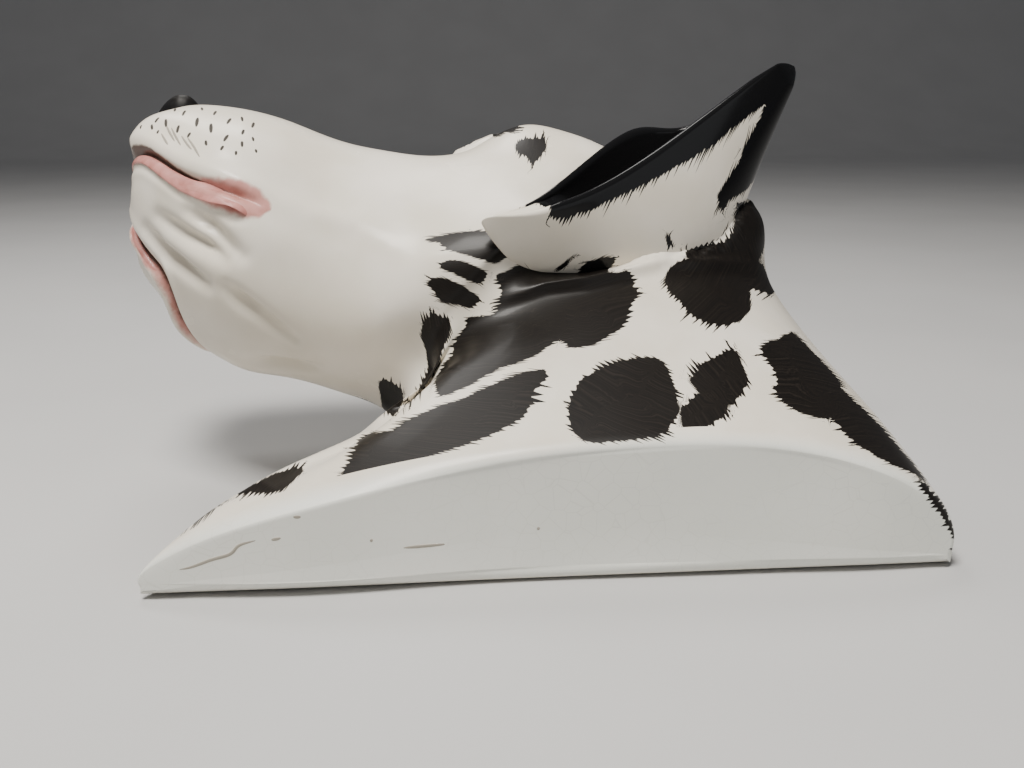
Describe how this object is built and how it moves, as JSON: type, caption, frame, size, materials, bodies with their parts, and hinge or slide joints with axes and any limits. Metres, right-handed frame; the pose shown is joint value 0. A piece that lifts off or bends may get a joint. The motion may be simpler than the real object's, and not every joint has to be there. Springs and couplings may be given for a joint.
{
  "type": "animal head wall plaque",
  "caption": "Hollow glazed ceramic wall plaque of a patch-coated animal's head and neck, with upright cupped ears, a flat neck cut and a flat back with a nail hole.",
  "frame": {"origin": "middle of the overall box, on the wall plane of the flat back", "axes": "+Z out of the wall, +Y up the wall from the neck's cut towards the head, -X the way the muzzle points"},
  "size_m": [0.3204, 0.2704, 0.1806],
  "materials": {
    "coat_glaze": "gloss, warm white with hand-painted brown-black patches",
    "white_glaze": "satin, crazed",
    "bare_clay": "matte",
    "lip_pink": "gloss",
    "black_glaze": "gloss"
  },
  "bodies": {
    "root": {"neck_shell": "coat_glaze", "neck_end_wall": "white_glaze", "back_plate": "bare_clay", "head_shell": "coat_glaze", "lower_jaw": "coat_glaze", "lip_lining": "lip_pink", "nose_pad": "black_glaze", "near_eye": "black_glaze", "far_eye": "black_glaze", "near_ear": "coat_glaze", "far_ear": "coat_glaze"}
  },
  "joints": []
}
